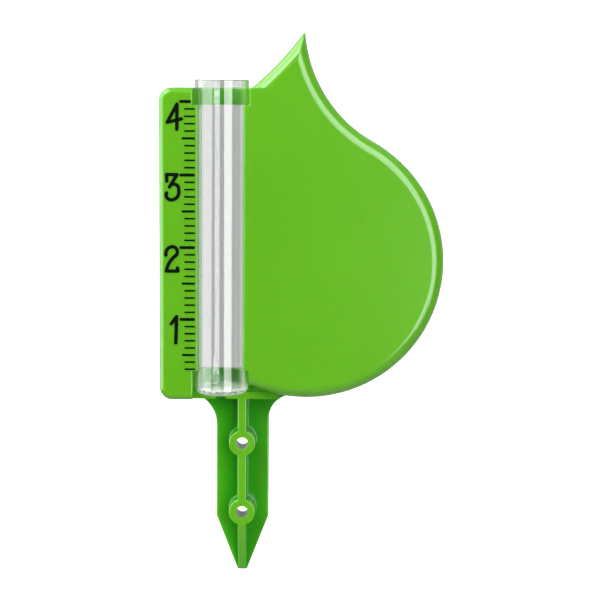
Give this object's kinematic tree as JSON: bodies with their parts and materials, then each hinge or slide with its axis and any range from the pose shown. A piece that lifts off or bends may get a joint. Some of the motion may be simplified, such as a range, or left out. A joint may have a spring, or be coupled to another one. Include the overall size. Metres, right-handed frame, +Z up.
{
  "type": "manual rain gauge",
  "caption": "Raindrop-shaped moulded rain gauge on a flat stake with screw holes; a clear measuring vial stands in its channel beside an inch scale and lifts out to be emptied.",
  "frame": {"origin": "midway between the centres of the two screw holes, on the holder's flat back", "axes": "+Z up along the vial and the stake, -Y towards the front with the scale, +X to the raindrop's side"},
  "size_m": [0.1001, 0.0207, 0.1949],
  "materials": {
    "holder_green": "opaque yellow-green moulded plastic, smooth and glossy",
    "vial_clear": "clear colourless moulded plastic, polished",
    "scale_ink": "near-black printed ink film"
  },
  "bodies": {
    "gauge_body": {"holder": "holder_green", "numeral_1": "scale_ink", "numeral_2": "scale_ink", "numeral_3": "scale_ink", "numeral_4": "scale_ink", "inch_ticks": "scale_ink", "half_inch_ticks": "scale_ink", "tenth_ticks": "scale_ink"},
    "vial_body": {"vial": "vial_clear"}
  },
  "joints": [
    {"name": "vial_lift", "type": "slide", "parent": "gauge_body", "child": "vial_body", "axis": [0, 0, 1], "range_m": [0, 0.112]}
  ]
}
